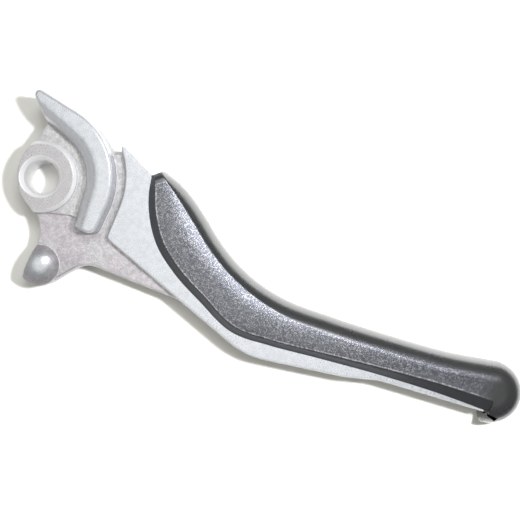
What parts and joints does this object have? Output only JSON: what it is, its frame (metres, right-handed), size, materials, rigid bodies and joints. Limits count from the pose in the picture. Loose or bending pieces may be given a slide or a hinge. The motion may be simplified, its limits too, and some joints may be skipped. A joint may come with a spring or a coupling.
{
  "type": "motor-scooter hydraulic brake lever",
  "caption": "Cast alloy hydraulic brake lever with pivot bore, guard arch and piston nose; a dark grained moulded cover and ball end on the finger side of its curved blade.",
  "frame": {"origin": "middle of the pivot bore, half-way between the two boss faces", "axes": "+Z along the pivot bore towards the guard arch, +X from the pivot to the ball end, +Y to the finger side; the handlebar lies on the -Y side"},
  "size_m": [0.165, 0.0523, 0.0145],
  "materials": {
    "cast_alloy": "die-cast, tumbled to a bright satin, worked flat on the boss",
    "grip_moulding": "grained face with a smooth border and a polished finger side"
  },
  "bodies": {
    "root": {"lever_casting": "cast_alloy", "grip_cover": "grip_moulding"}
  },
  "joints": []
}
